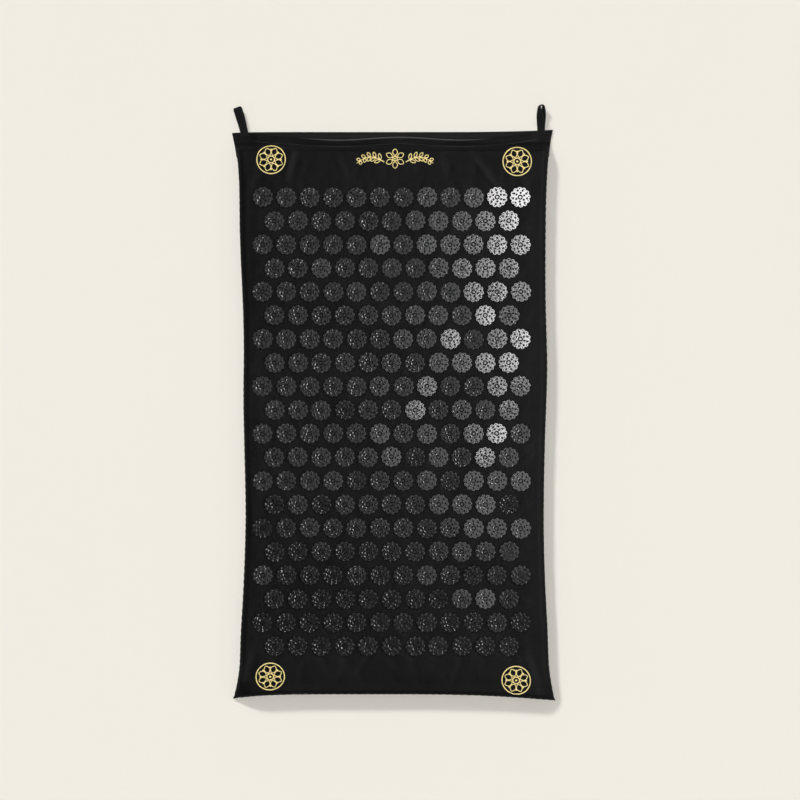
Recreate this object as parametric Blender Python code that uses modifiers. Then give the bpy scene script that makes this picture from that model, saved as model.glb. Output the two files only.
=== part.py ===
"""Acupressure mat: a foam pad in a cotton cover, with staggered rows of spiked plastic rosettes.

The mat lies on its back panel. X runs across it, +Y points to the end with the hanging loops and the
mouth of the cover, and +Z points up. The origin is on the underside, at the middle of the mat.
All sizes are in metres.
"""

import bmesh
import bpy
from math import asin, cos, pi, radians, sin
from mathutils import Matrix, Vector

# Outline of the cover
mat_length = 0.740
waist_width = 0.3905
side_draw = 0.0045
corner_flare = 0.0077
top_draw = 0.0022
bottom_draw = 0.0060
side_draw_power = 2
flare_power = 12
end_draw_power = 4

# Section of the mat
pad_thickness = 0.0218
fabric_thickness = 0.0008
clearance = 0.0003
shoulder_reach = 0.0090
pad_side_room = 0.0065
pad_corner_radius = 0.0150
pad_edge_radius = 0.0060
seam_height_share = 0.38
seam_ease = 0.030
ear_reach = 0.020
ear_sag_share = 0.90

# Mouth of the cover, at the top end
closure_tape_width = 0.0090
closure_tape_thickness = 0.0012
closure_tape_inset = 0.0007
closure_tape_end_room = 0.0050
lip_reach = 0.0075
mouth_shoulder_reach = 0.0080
mouth_pad_room = 0.0050
mouth_side_room = 0.0021
flap_land = 0.0040

# Hanging loops of folded tape
loop_length = 0.0345
loop_width = 0.0100
loop_tape_thickness = 0.0010
loop_nose_radius = 0.0045
loop_fold_gap = 0.00014
loop_crease_radius = 0.00035
loop_pad_room = 0.0015

# Moulded rosettes and the field they fill
rosette_radius = 0.0137
rosette_thickness = 0.0016
rosette_gap_across = 0.0031
rosette_gap_along = 0.00335
rosette_side_margin = 0.0099
rosette_top_margin = 0.0715
rosette_bottom_margin = 0.0545
field_shift = -0.0035
petal_count = 12
petal_notch_share = 0.87
spike_height = 0.0042
spike_base_radius = 0.00105
spike_sides = 3
spike_root_depth = 0.0004
spike_ring_counts = (12, 9, 6)
spike_ring_shares = (0.845, 0.665, 0.39)
boss_radius = 0.0013
moat_radius = 0.0027
moat_depth = 0.0006
moat_sides = 6
separate_rows = 2
plain_rosette_sides = 8
cut_overrun = 0.0010

# Facets of the soft forms
shoulder_cells = 4
flat_cells_along = 13
fin_cells = 2
bevel_cells = 3
nose_segments = 12
base_segments = 4
smooth_angle = radians(40)

# Heights, from the floor up
pad_bottom = fabric_thickness + clearance
panel_underside = pad_bottom + pad_thickness + clearance
panel_top = panel_underside + fabric_thickness
seam_height = seam_height_share * panel_top
ear_height = fabric_thickness + clearance

# Places along the mat, from its middle to the top end
top_end = mat_length / 2
hem_y = top_end - top_draw - lip_reach
fin_start_y = hem_y - closure_tape_width - 2 * closure_tape_inset
mouth_shoulder_y = fin_start_y - mouth_shoulder_reach
flap_root_y = mouth_shoulder_y - flap_land
bottom_end = -mat_length / 2 + fabric_thickness

# The pad, and what has to stay clear of its way out of the mouth
pad_half_width = waist_width / 2 - fabric_thickness - pad_side_room
pad_top_end = fin_start_y - mouth_pad_room
pad_bottom_end = bottom_end + bottom_draw + pad_side_room
mouth_half_width = pad_half_width + mouth_side_room
loop_x = pad_half_width + loop_pad_room + loop_width / 2

cotton_black = (0.010, 0.010, 0.011, 1)
plastic_black = (0.012, 0.012, 0.013, 1)
tape_black = (0.014, 0.014, 0.015, 1)
foam_cream = (0.80, 0.74, 0.58, 1)


def new_collection(name):
    collection = bpy.data.collections.new(name)
    bpy.context.scene.collection.children.link(collection)
    return collection


def new_material(name, colour, roughness):
    """A dielectric finish: nothing on the mat is metal."""
    material = bpy.data.materials.new(name)
    material.use_nodes = True
    shader = material.node_tree.nodes["Principled BSDF"]
    shader.inputs["Base Color"].default_value = colour
    shader.inputs["Roughness"].default_value = roughness
    shader.inputs["Metallic"].default_value = 0
    material.diffuse_color = colour
    return material


def new_object(name, data, material, collection, location=(0, 0, 0)):
    piece = bpy.data.objects.new(name, data)
    piece.location = location
    if material is not None:
        data.materials.append(material)
    collection.objects.link(piece)
    return piece


def new_cutter(name, mesh, collection, location=(0, 0, 0)):
    cutter = new_object(name, mesh, None, collection, location)
    cutter.hide_render = True
    cutter.display_type = "WIRE"
    return cutter


def mesh_from(bm, name):
    bmesh.ops.recalc_face_normals(bm, faces=bm.faces)
    mesh = bpy.data.meshes.new(name)
    bm.to_mesh(mesh)
    bm.free()
    return mesh


def shade_round(mesh):
    mesh.shade_smooth()
    mesh.set_sharp_from_angle(angle=smooth_angle)


def add_boolean(piece, operation, other):
    modifier = piece.modifiers.new(operation.title(), "BOOLEAN")
    modifier.operation = operation
    modifier.solver = "EXACT"
    modifier.object = other


def box_mesh(name, size):
    bm = bmesh.new()
    bmesh.ops.create_cube(bm, size=1, matrix=Matrix.Diagonal((*size, 1)))
    return mesh_from(bm, name)


def smooth_step(share):
    share = min(max(share, 0), 1)
    return share * share * (3 - 2 * share)


def half_width_at(y):
    """Half the width of the cloth inside its seam: a slow bow between the ends and a flare at the corners."""
    share = abs(y) / top_end
    bow = side_draw * share**side_draw_power + corner_flare * share**flare_power
    return waist_width / 2 - fabric_thickness + bow


def drawn_end(across_share, y):
    """How far the end edges are pulled in towards the middle, most at the centre of each end."""
    pull = (1 - across_share**end_draw_power) * (abs(y) / top_end) ** flare_power
    return -top_draw * pull if y > 0 else bottom_draw * pull


def seam_height_at(across_share, y):
    """The seam runs at mid height, falls to the floor along the mouth and droops at the bottom corners."""
    to_mouth = smooth_step((y - mouth_shoulder_y + seam_ease) / seam_ease)
    to_corner = smooth_step((-y - top_end + seam_ease) / seam_ease) * across_share**flare_power
    return seam_height + (ear_height - seam_height) * max(to_mouth, to_corner)


def ear_sag_at(inset_across, inset_along):
    """The cloth sags where it reaches past the pad's corner: by a share that grows towards the corner."""
    across = max(1 - inset_across / ear_reach, 0)
    along = max(1 - inset_along / ear_reach, 0)
    return ear_sag_share * across * along


def shoulder_angles():
    return [pi / 2 * step / shoulder_cells for step in range(shoulder_cells + 1)]


def lines_across(half_width):
    """(x, share of full height) of each lattice line: a rounded shoulder on each side of a flat top."""
    side = [(half_width - shoulder_reach * (1 - cos(a)), sin(a)) for a in shoulder_angles()]
    side.append((half_width - ear_reach, 1))
    return [(-x, rise) for x, rise in side] + [(0, 1)] + side[::-1]


def lines_along():
    """(y, share of full height) of each lattice line, from the bottom end to the mouth."""
    bottom = [(bottom_end + shoulder_reach * (1 - cos(a)), sin(a)) for a in shoulder_angles()]
    mouth = [(mouth_shoulder_y + mouth_shoulder_reach * sin(a), cos(a)) for a in shoulder_angles()]
    flat_start = bottom_end + ear_reach
    flat_run = mouth_shoulder_y - flat_start
    flat = [(flat_start + flat_run * cell / flat_cells_along, 1) for cell in range(flat_cells_along)]
    fin_run = top_end - fin_start_y
    fin = [(fin_start_y + fin_run * cell / fin_cells, 0) for cell in range(1, fin_cells + 1)]
    return bottom + flat + mouth + fin


def lattice_mesh(name, columns, rows, point_at):
    """A grid whose points are placed by point_at(column, row)."""
    bm = bmesh.new()
    bmesh.ops.create_grid(bm, x_segments=columns, y_segments=rows, size=1)
    for vert in bm.verts:
        column = round((vert.co.x + 1) / 2 * columns)
        row = round((vert.co.y + 1) / 2 * rows)
        vert.co = point_at(column, row)
    mesh = bpy.data.meshes.new(name)
    bm.to_mesh(mesh)
    bm.free()
    mesh.shade_smooth()
    return mesh


def cover_place(column, row):
    """Where a lattice point of either cloth lies in plan: (x, y, share of full height, seam height there)."""
    y, rise_along = lines_along()[row]
    half_width = half_width_at(y)
    x, rise_across = lines_across(half_width)[column]
    across_share = abs(x) / half_width
    seam = seam_height_at(across_share, y)
    return x, y + drawn_end(across_share, y), rise_across * rise_along, seam


def front_point(column, row):
    """The front cloth rises from the seam over the pad, and sags at the bottom corners past the pad."""
    x, y, rise, seam = cover_place(column, row)
    sag = ear_sag_at(half_width_at(y) - abs(x), y - bottom_end)
    return Vector((x, y, seam + (panel_underside - seam) * rise * (1 - sag)))


def back_point(column, row):
    """The back cloth dips to the floor as the front one rises. Beyond the mouth's shoulder both lie flat."""
    x, y, rise, seam = cover_place(column, row)
    rim = seam - clearance
    return Vector((x, y, rim + (fabric_thickness - rim) * rise))


def cover_mesh(name, point_at):
    columns = len(lines_across(waist_width / 2)) - 1
    rows = len(lines_along()) - 1
    return lattice_mesh(name, columns, rows, point_at)


def add_cloth_thickness(piece):
    solidify = piece.modifiers.new("Cloth", "SOLIDIFY")
    solidify.thickness = fabric_thickness
    solidify.offset = 1
    solidify.use_even_offset = True


def add_cylinder(bm, radius, sides, bottom, top):
    bmesh.ops.create_cone(
        bm,
        cap_ends=True,
        segments=sides,
        radius1=radius,
        radius2=radius,
        depth=top - bottom,
        matrix=Matrix.Translation((0, 0, (bottom + top) / 2)),
    )


def add_spikes(bm, count, radius_share):
    """A ring of sharp pyramids, each rooted a little way into the disc."""
    depth = spike_height + spike_root_depth
    middle = rosette_thickness - spike_root_depth + depth / 2
    for index in range(count):
        spot = Vector((rosette_radius * radius_share, 0, middle))
        spot.rotate(Matrix.Rotation(2 * pi * index / count, 3, "Z"))
        bmesh.ops.create_cone(
            bm,
            cap_ends=True,
            segments=spike_sides,
            radius1=spike_base_radius,
            radius2=0,
            depth=depth,
            matrix=Matrix.Translation(spot),
        )


def rosette_disc(name, sides, notch_share, collection):
    """The flat of a rosette, its underside at z = 0. Every other corner is a notch between two petals."""
    bm = bmesh.new()
    circle = bmesh.ops.create_circle(bm, cap_ends=True, radius=rosette_radius, segments=sides)
    for index, vert in enumerate(circle["verts"]):
        if index % 2:
            vert.co *= notch_share
    raised = bmesh.ops.extrude_face_region(bm, geom=bm.faces[:])
    top = [part for part in raised["geom"] if isinstance(part, bmesh.types.BMVert)]
    bmesh.ops.translate(bm, verts=top, vec=(0, 0, rosette_thickness))
    return new_cutter(name, mesh_from(bm, name), collection)


def finished_mesh(piece):
    """The mesh of a piece with its modifiers carried out, and the piece itself gone."""
    graph = bpy.context.evaluated_depsgraph_get()
    mesh = bpy.data.meshes.new_from_object(piece.evaluated_get(graph))
    bpy.data.objects.remove(piece)
    shade_round(mesh)
    return mesh


def full_rosette_mesh(collection):
    """One moulded rosette: twelve petals, three rings of spikes and a boss that stands in a moat."""
    disc = rosette_disc("rosette", 2 * petal_count, petal_notch_share, collection)

    bm = bmesh.new()
    floor = rosette_thickness - moat_depth
    add_cylinder(bm, moat_radius, moat_sides, floor, rosette_thickness + moat_depth)
    add_boolean(disc, "DIFFERENCE", new_cutter("moat", mesh_from(bm, "moat"), collection))

    bm = bmesh.new()
    for count, radius_share in zip(spike_ring_counts, spike_ring_shares):
        add_spikes(bm, count, radius_share)
    add_cylinder(bm, boss_radius, moat_sides, floor - spike_root_depth, rosette_thickness)
    add_boolean(disc, "UNION", new_cutter("spikes", mesh_from(bm, "spikes"), collection))
    return finished_mesh(disc)


def plain_rosette_mesh(collection):
    """A rosette with few faces: a round disc and the spike at its middle."""
    disc = rosette_disc("plain_rosette", plain_rosette_sides, 1, collection)
    bm = bmesh.new()
    add_spikes(bm, 1, 0)
    add_boolean(disc, "UNION", new_cutter("spike", mesh_from(bm, "spike"), collection))
    return finished_mesh(disc)


def rosette_places():
    """(row, column, x, y) of every rosette. Even rows lie half a pitch over and have one less."""
    pitch_across = 2 * rosette_radius + rosette_gap_across
    pitch_along = 2 * rosette_radius + rosette_gap_along
    room_across = waist_width - 2 * rosette_side_margin
    room_along = mat_length - rosette_top_margin - rosette_bottom_margin
    across = int((room_across + rosette_gap_across) / pitch_across)
    rows = int((room_along + rosette_gap_along) / pitch_along)
    middle_y = (rosette_bottom_margin - rosette_top_margin) / 2
    places = []
    for row in range(rows):
        count = across - row % 2
        y = middle_y + pitch_along * ((rows - 1) / 2 - row)
        for column in range(count):
            x = field_shift + pitch_across * (column - (count - 1) / 2)
            places.append((row + 1, column + 1, x, y))
    return places


def repeated_mesh(name, unit, spots):
    bm = bmesh.new()
    for spot in spots:
        first = len(bm.verts)
        bm.from_mesh(unit)
        bm.verts.ensure_lookup_table()
        bmesh.ops.translate(bm, verts=bm.verts[first:], vec=spot)
    mesh = bpy.data.meshes.new(name)
    bm.to_mesh(mesh)
    bm.free()
    return mesh


def make_foam_pad(collection, material):
    """The foam slab: a block with rounded corners, its edges pressed round by the cover."""
    length = pad_top_end - pad_bottom_end
    bm = bmesh.new()
    size = (2 * pad_half_width, length, pad_thickness)
    bmesh.ops.create_cube(bm, size=1, matrix=Matrix.Diagonal((*size, 1)))
    upright = [e for e in bm.edges if abs(e.verts[0].co.z - e.verts[1].co.z) > pad_thickness / 2]
    bmesh.ops.bevel(
        bm, geom=upright, offset=pad_corner_radius, segments=bevel_cells, profile=0.5, affect="EDGES"
    )
    rims = [e for e in bm.edges if abs(e.verts[0].co.z - e.verts[1].co.z) < clearance]
    bmesh.ops.bevel(
        bm, geom=rims, offset=pad_edge_radius, segments=bevel_cells, profile=0.5, affect="EDGES"
    )
    mesh = mesh_from(bm, "foam_pad")
    shade_round(mesh)
    centre = (0, (pad_top_end + pad_bottom_end) / 2, pad_bottom + pad_thickness / 2)
    return new_object("foam_pad", mesh, material, collection, centre)


def make_back_panel(collection, material):
    """The back cloth: flat on the floor, rising to the seam round three sides, and flat along the mouth."""
    mesh = cover_mesh("back_panel", back_point)
    mesh.flip_normals()
    panel = new_object("back_panel", mesh, material, collection)
    add_cloth_thickness(panel)
    return panel


def make_front_panel(collection, cutters, material, plain_rosette, spots):
    """The front cloth with a notch for the mouth flap, and the rosettes that are bonded to it."""
    panel = new_object("front_panel", cover_mesh("front_panel", front_point), material, collection)
    add_cloth_thickness(panel)
    notch_depth = top_end - flap_root_y + cut_overrun
    notch_size = (2 * (mouth_half_width + clearance), notch_depth, 2 * panel_top)
    notch_centre = (0, flap_root_y + notch_depth / 2, panel_top)
    notch = new_cutter("mouth_notch", box_mesh("mouth_notch", notch_size), cutters, notch_centre)
    add_boolean(panel, "DIFFERENCE", notch)
    field = new_cutter("field", repeated_mesh("field", plain_rosette, spots), cutters)
    add_boolean(panel, "UNION", field)
    return panel


def make_rosettes(collection, material, unit, places):
    """The rosettes of the first rows, each an object of its own that shares the one mesh."""
    unit.materials.append(material)
    for row, column, x, y in places:
        spot = (x, y, panel_top + clearance)
        new_object(f"rosette_{row}_{column:02d}", unit, None, collection, spot)


def make_mouth_flap(collection, material):
    """The hemmed edge of the front cloth. Its origin is on the line that it lifts about."""
    hinge = Vector((0, flap_root_y + clearance / 2, panel_top))
    fin_height = fabric_thickness + 2 * closure_tape_thickness + 3 * clearance
    rise = panel_underside - fin_height
    profile = [(flap_root_y + clearance, panel_underside)]
    for angle in shoulder_angles():
        y = mouth_shoulder_y + mouth_shoulder_reach * sin(angle)
        profile.append((y, fin_height + rise * cos(angle)))
    profile.append((hem_y, fin_height))

    def flap_point(column, row):
        y, z = profile[row]
        return Vector(((column - 1) * mouth_half_width, y, z)) - hinge

    mesh = lattice_mesh("mouth_flap", 2, len(profile) - 1, flap_point)
    flap = new_object("mouth_flap", mesh, material, collection, hinge)
    add_cloth_thickness(flap)
    return flap


def make_closure_tapes(collection, material, flap):
    """The two halves of the hook and loop closure, one on the back lip and one under the flap."""
    size = (
        2 * (mouth_half_width - closure_tape_end_room),
        closure_tape_width,
        closure_tape_thickness,
    )
    middle_y = hem_y - closure_tape_inset - closure_tape_width / 2
    hook_z = fabric_thickness + clearance + closure_tape_thickness / 2
    loop_z = hook_z + closure_tape_thickness + clearance
    hook_place = (0, middle_y, hook_z)
    new_object("hook_tape", box_mesh("hook_tape", size), material, collection, hook_place)
    loop_place = Vector((0, middle_y, loop_z)) - flap.location
    tape = new_object("loop_tape", box_mesh("loop_tape", size), material, collection, loop_place)
    tape.parent = flap


def belt_outline(start, start_radius, end, end_radius):
    """Points round a belt that runs over two rollers: two arcs joined by their common tangents."""
    run = end - start
    lean = asin((end_radius - start_radius) / run.length)
    points = []
    for centre, radius, first, last, segments in (
        (end, end_radius, -pi / 2 - lean, pi / 2 + lean, nose_segments),
        (start, start_radius, pi / 2 + lean, 3 * pi / 2 - lean, base_segments),
    ):
        for step in range(segments + 1):
            spoke = run.normalized() * radius
            spoke.rotate(Matrix.Rotation(first + (last - first) * step / segments, 2))
            points.append(centre + spoke)
    return points


def make_hanging_loop(name, side, collection, material):
    """Folded tape seen from its edge: a round nose, an open eye and a sewn end, which is its hinge."""
    base_radius = loop_tape_thickness + loop_fold_gap / 2
    outer_side = loop_x + loop_width / 2
    edge_y = top_end + drawn_end(outer_side / half_width_at(top_end), top_end)
    hinge = Vector((side * loop_x, edge_y + clearance + base_radius, clearance + base_radius))
    base = Vector((0, 0))
    nose = Vector((loop_length - base_radius - loop_nose_radius, loop_nose_radius - base_radius))
    growth = loop_nose_radius - base_radius
    crease = nose * ((loop_crease_radius + loop_tape_thickness - base_radius) / growth)

    curve = bpy.data.curves.new(name, "CURVE")
    curve.dimensions = "2D"
    curve.fill_mode = "BOTH"
    curve.extrude = loop_width / 2
    for outline in (
        belt_outline(base, base_radius, nose, loop_nose_radius),
        belt_outline(crease, loop_crease_radius, nose, loop_nose_radius - loop_tape_thickness),
    ):
        spline = curve.splines.new("POLY")
        spline.points.add(len(outline) - 1)
        for point, place in zip(spline.points, outline):
            point.co = (*place, 0, 1)
        spline.use_cyclic_u = True
    loop = new_object(name, curve, material, collection, hinge)
    loop.rotation_euler = (pi / 2, 0, pi / 2)
    return loop


for leftover in list(bpy.data.objects):
    bpy.data.objects.remove(leftover)

mat = new_collection("acupressure_mat")
cutters = new_collection("cutters")
cotton = new_material("cotton", cotton_black, 0.85)
moulding = new_material("moulding", plastic_black, 0.22)
webbing = new_material("webbing", tape_black, 0.80)
foam = new_material("foam", foam_cream, 0.95)

places = rosette_places()
separate_places = [place for place in places if place[0] <= separate_rows]
sunk_base = panel_top - fabric_thickness / 2
fused_spots = [(x, y, sunk_base) for row, _, x, y in places if row > separate_rows]

make_foam_pad(mat, foam)
make_back_panel(mat, cotton)
make_front_panel(mat, cutters, cotton, plain_rosette_mesh(cutters), fused_spots)
make_rosettes(mat, moulding, full_rosette_mesh(cutters), separate_places)
mouth_flap = make_mouth_flap(mat, cotton)
make_closure_tapes(mat, webbing, mouth_flap)
make_hanging_loop("hanging_loop_left", -1, mat, webbing)
make_hanging_loop("hanging_loop_right", 1, mat, webbing)
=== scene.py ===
"""Acupressure mat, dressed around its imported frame: foam, black cotton cover, closure, hanging loops,
230 spiked rosettes and gold embroidery, on a pale studio floor. Lengths are in metres."""

import bmesh
import bpy
import numpy as np
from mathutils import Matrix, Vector


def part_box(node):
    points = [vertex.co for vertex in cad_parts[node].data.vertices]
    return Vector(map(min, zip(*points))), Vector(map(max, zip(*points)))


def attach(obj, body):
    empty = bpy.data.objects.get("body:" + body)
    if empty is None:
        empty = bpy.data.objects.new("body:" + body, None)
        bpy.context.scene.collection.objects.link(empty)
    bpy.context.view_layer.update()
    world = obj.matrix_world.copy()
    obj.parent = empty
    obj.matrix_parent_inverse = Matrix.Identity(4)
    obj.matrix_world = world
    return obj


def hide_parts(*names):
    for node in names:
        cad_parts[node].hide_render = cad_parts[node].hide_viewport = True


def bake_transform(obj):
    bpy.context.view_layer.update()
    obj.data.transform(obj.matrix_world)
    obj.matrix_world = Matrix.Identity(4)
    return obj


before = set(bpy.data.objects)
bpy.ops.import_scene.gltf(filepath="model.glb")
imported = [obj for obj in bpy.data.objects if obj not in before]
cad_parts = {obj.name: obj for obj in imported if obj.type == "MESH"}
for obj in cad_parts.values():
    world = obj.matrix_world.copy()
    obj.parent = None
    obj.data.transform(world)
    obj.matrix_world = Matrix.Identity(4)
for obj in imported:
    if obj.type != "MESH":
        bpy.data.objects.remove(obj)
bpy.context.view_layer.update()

# Foam pad
# One slab of cream open-cell foam, a little over 20 mm thick, which fills the cover and bears the discs.
# It is cut with rounded corners, its edges are pressed round, and nothing fastens it in the cover.


def grid_faces(rows, columns, wrap=False):
    """Quads between neighbours of a grid stored row by row. With wrap, the last column meets the first."""
    index = np.arange(rows * columns).reshape(rows, columns)
    after = np.roll(index, -1, axis=1)
    if not wrap:
        index, after = index[:, :-1], after[:, :-1]
    return np.stack([index[:-1], after[:-1], after[1:], index[1:]], axis=-1).reshape(-1, 4)


def new_piece(name, points, face_groups, material, smooth=True):
    """An object at the origin whose mesh has these points and these arrays of faces."""
    mesh = bpy.data.meshes.new(name)
    faces = [face for group in face_groups for face in group.tolist()]
    mesh.from_pydata(points.reshape(-1, 3).tolist(), [], faces)
    mesh.materials.append(material)
    mesh.polygons.foreach_set("use_smooth", np.full(len(mesh.polygons), smooth))
    piece = bpy.data.objects.new(name, mesh)
    bpy.context.scene.collection.objects.link(piece)
    return piece


def change_mesh(piece, change):
    """Runs a function on a piece's mesh, as bmesh holds it."""
    bm = bmesh.new()
    bm.from_mesh(piece.data)
    change(bm)
    bm.to_mesh(piece.data)
    bm.free()


def middle_of(node, axis):
    """The middle of a CAD node's box along x, axis 0, or y, axis 1."""
    low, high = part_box(node)
    return (low[axis] + high[axis]) / 2


def join(tree, node, **inputs):
    """Sets a node's inputs to values, or joins them to other sockets. i2 is the input numbered 2."""
    for name, value in inputs.items():
        key = int(name[1:]) if name[0] == "i" and name[1:].isdigit() else name.replace("_", " ")
        socket = node.inputs[key]
        if isinstance(value, bpy.types.NodeSocket):
            tree.links.new(value, socket)
        else:
            socket.default_value = value


def add_node(tree, kind, settings=(), **inputs):
    """A shader node with the given settings, its inputs set or joined."""
    node = tree.nodes.new("ShaderNode" + kind)
    for name, value in dict(settings).items():
        setattr(node, name, value)
    join(tree, node, **inputs)
    return node


def maths(tree, operation, *values):
    return add_node(
        tree, "Math", {"operation": operation}, **{f"i{n}": value for n, value in enumerate(values)}
    ).outputs[0]


def new_material(name):
    """A material with one Principled BSDF, and that shader."""
    material = bpy.data.materials.new(name)
    material.use_nodes = True
    return material, material.node_tree, material.node_tree.nodes["Principled BSDF"]


def blend_colours(tree, share, dark, light):
    """The colour at a share of the way between two, each given as three numbers or as a socket."""
    mix = add_node(tree, "Mix", {"data_type": "RGBA"}, Factor=share)
    for socket, colour in ((mix.inputs[6], dark), (mix.inputs[7], light)):
        if isinstance(colour, bpy.types.NodeSocket):
            tree.links.new(colour, socket)
        else:
            socket.default_value = (*colour, 1)
    return mix.outputs[2]


def bump(tree, height, distance):
    return add_node(tree, "Bump", Height=height, Distance=distance, Strength=1.0).outputs[0]


foam_low, foam_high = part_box("foam_pad")
foam_half_width = foam_high.x
foam_half_length = (foam_high.y - foam_low.y) / 2
foam_middle_y = middle_of("foam_pad", 1)
# room left under the cloth's creases
foam_top_room = 0.0016
foam_thickness = foam_high.z - foam_low.z - foam_top_room
foam_corner_radius = 0.015
foam_edge_radius = 0.008
foam_hollow = 0.0012
foam_unevenness = 0.0004
foam_cells_per_corner = 8
foam_cells_along = 120
foam_cells_across = 64
foam_cells_round_edge = 5
foam_loops_on_face = 25
weld_distance = 0.00002
foam_light = (0.86, 0.79, 0.60)
foam_dark = (0.66, 0.55, 0.35)
foam_cell = 0.0011
foam_cell_relief = 0.0004


def directions_at(angle):
    """The unit vectors at these angles, as rows."""
    return np.stack([np.cos(angle), np.sin(angle)], axis=1)


def rounded_loop(inset):
    """Points round a rectangle with arcs at its corners. Its radius shrinks as it is drawn in by inset."""
    shrink = 1 - inset / foam_half_width
    radius = foam_corner_radius * shrink
    centre_x = foam_half_width - inset - radius
    centre_y = foam_half_length - inset - radius
    turn = np.linspace(0, np.pi / 2, foam_cells_per_corner + 1)
    arcs = []
    for quarter, (side_x, side_y) in enumerate(((1, 1), (-1, 1), (-1, -1), (1, -1))):
        arc = directions_at(turn + quarter * np.pi / 2) * radius
        arcs.append(arc + (side_x * centre_x, side_y * centre_y))
    cells = (foam_cells_across, foam_cells_along, foam_cells_across, foam_cells_along)
    path = []
    for arc, following, count in zip(arcs, arcs[1:] + arcs[:1], cells):
        share = np.linspace(0, 1, count + 1)[1:-1, None]
        path += [arc, arc[-1] * (1 - share) + following[0] * share]
    return np.concatenate(path)


def foam_slab():
    """The slab's section is carried round its outline: in from the rim the flat faces are nested loops.

    The sides are slightly hollow and the faces have a soft unevenness, a sum of slow sine waves."""
    bend = np.linspace(0, np.pi / 2, foam_cells_round_edge + 1)
    deep = np.linspace(foam_half_width, foam_edge_radius, foam_loops_on_face + 1)[:-1]
    arc_inset = foam_edge_radius * (1 - np.sin(bend))
    arc_height = foam_edge_radius * (1 - np.cos(bend))
    waist = np.array([0.25, 0.5, 0.75])
    side_height = foam_edge_radius + waist * (foam_thickness - 2 * foam_edge_radius)
    insets = np.concatenate(
        [deep, arc_inset, foam_hollow * np.sin(np.pi * waist), arc_inset[::-1], deep[::-1]]
    )
    flat = np.zeros(len(deep))
    heights = np.concatenate(
        [flat, arc_height, side_height, foam_thickness - arc_height[::-1], flat + foam_thickness]
    )
    plan = np.stack([rounded_loop(inset) for inset in insets])
    x, y = plan[..., 0], plan[..., 1]
    uneven = 0.5 * np.sin(61 * x + 23 * y) * np.sin(47 * y - 31 * x) + 0.3 * np.sin(140 * y + 90 * x)
    lift = (heights / foam_thickness)[:, None] * uneven * foam_unevenness
    z = foam_low.z + heights[:, None] + lift
    points = np.stack([x, y + foam_middle_y, z], axis=-1)
    return points, grid_faces(*points.shape[:2], wrap=True)


def foam_material():
    """Cream foam: pale cell walls round small pits painted darker as shade, with slow patches where it has
    yellowed.
    """
    material, tree, shader = new_material("open_cell_foam")
    place = add_node(tree, "TexCoord").outputs["Object"]
    pits = add_node(tree, "TexVoronoi", Vector=place, Scale=1 / foam_cell).outputs["Distance"]
    patches = add_node(tree, "TexNoise", Vector=place, Scale=14, Detail=3).outputs["Fac"]
    depth = add_node(tree, "MapRange", Value=pits, From_Min=0.05, From_Max=0.55).outputs["Result"]
    # the pits are painted darker, as shade in the hollows; the patches are yellowing
    share = maths(tree, "MULTIPLY_ADD", patches, 0.5, maths(tree, "MULTIPLY", depth, 0.6))
    colour = blend_colours(tree, share, foam_dark, foam_light)
    normal = bump(tree, depth, foam_cell_relief)
    join(tree, shader, Base_Color=colour, Normal=normal, Roughness=0.95, Specular_IOR_Level=0.2)
    return material


def weld(bm):
    """Merges the points that meet in the middle of the faces, and turns all faces outwards."""
    bmesh.ops.remove_doubles(bm, verts=bm.verts, dist=weld_distance)
    bmesh.ops.recalc_face_normals(bm, faces=bm.faces)


foam_points, foam_faces = foam_slab()
foam = new_piece("foam_slab", foam_points, [foam_faces], foam_material())
change_mesh(foam, weld)
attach(foam, "pad")
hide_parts("foam_pad")

# Cover, back cloth
# Black cotton canvas, 0.8 mm thick. It lies flat under the foam, turns up to the side seam on three
# sides, and runs on past the foam at the top end as the lip that the mouth closes on.
waist_half = 0.19605
side_draw = 0.0045
corner_flare = 0.0077
# what is the corners' own grows with this power of the share of the way to them
corner_power = 12
side_bulges = (
    # side, y of the middle, spread along y, how far out
    (-1, 0.245, 0.100, 0.0043),
    (-1, 0.362, 0.040, 0.0030),
    (-1, 0.020, 0.060, 0.0014),
    (-1, -0.140, 0.070, -0.0019),
    (-1, -0.290, 0.045, 0.0020),
    (-1, -0.370, 0.030, 0.0025),
    (1, 0.000, 0.500, 0.0006),
    (1, 0.060, 0.075, 0.0034),
    (1, 0.290, 0.060, -0.0006),
    (1, 0.370, 0.030, -0.0012),
    (1, -0.150, 0.080, -0.0016),
    (1, -0.285, 0.045, 0.0014),
    (1, -0.365, 0.030, 0.0018),
)
top_end = 0.370
bottom_end = -0.370
# how far an end is drawn in at its middle, the powers of its two halves, how far its corners shift
top_line = (-0.0001, (12, 4), (-0.0014, 0.0028))
bottom_line = (0.0054, (6, 2.6), (-0.0009, -0.0034))
canvas_thickness = 0.0008
cover_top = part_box("mouth_flap")[1].z
side_seam_height = 0.0091
seam_gap = 0.0003
seam_tuck = 0.0007
seam_tuck_reach = 0.0006
seam_ease = 0.030
shoulder_reach = 0.0090
mouth_half = 0.19005
flap_root_y = 0.33805
flat_cells_half = 72
mouth_cells_half = 70
cells_along = 262
mouth_cells = 20
shoulder_cells = 8
column_swing = 0.06
pucker_pitch = 0.0085
pucker_depth = 0.00022
pucker_reach = 0.009
pucker_end_y = 0.33
pucker_fade = 0.02
canvas_black = (0.0027, 0.0027, 0.0029)
canvas_worn = (0.0060, 0.0060, 0.0062)
canvas_lighter = (0.120, 0.120, 0.122)
lip_lighter_share = 0.045
lip_lighter_from = 0.352
lip_lighter_fade = 0.006
thread_pitch = 0.00052
canvas_relief = 0.00007
cloth_fibre_scale = 700
cloth_gloss = 0.018
sheen_roughness = 0.45
sheen_tint = (0.55, 0.55, 0.58, 1)


def smooth_step(share):
    share = np.clip(share, 0, 1)
    return share * share * (3 - 2 * share)


def bell(share):
    """1 in the middle, 0.37 at a share of 1 to either side, and next to nothing at 2."""
    return np.exp(-(share**2))


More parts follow.
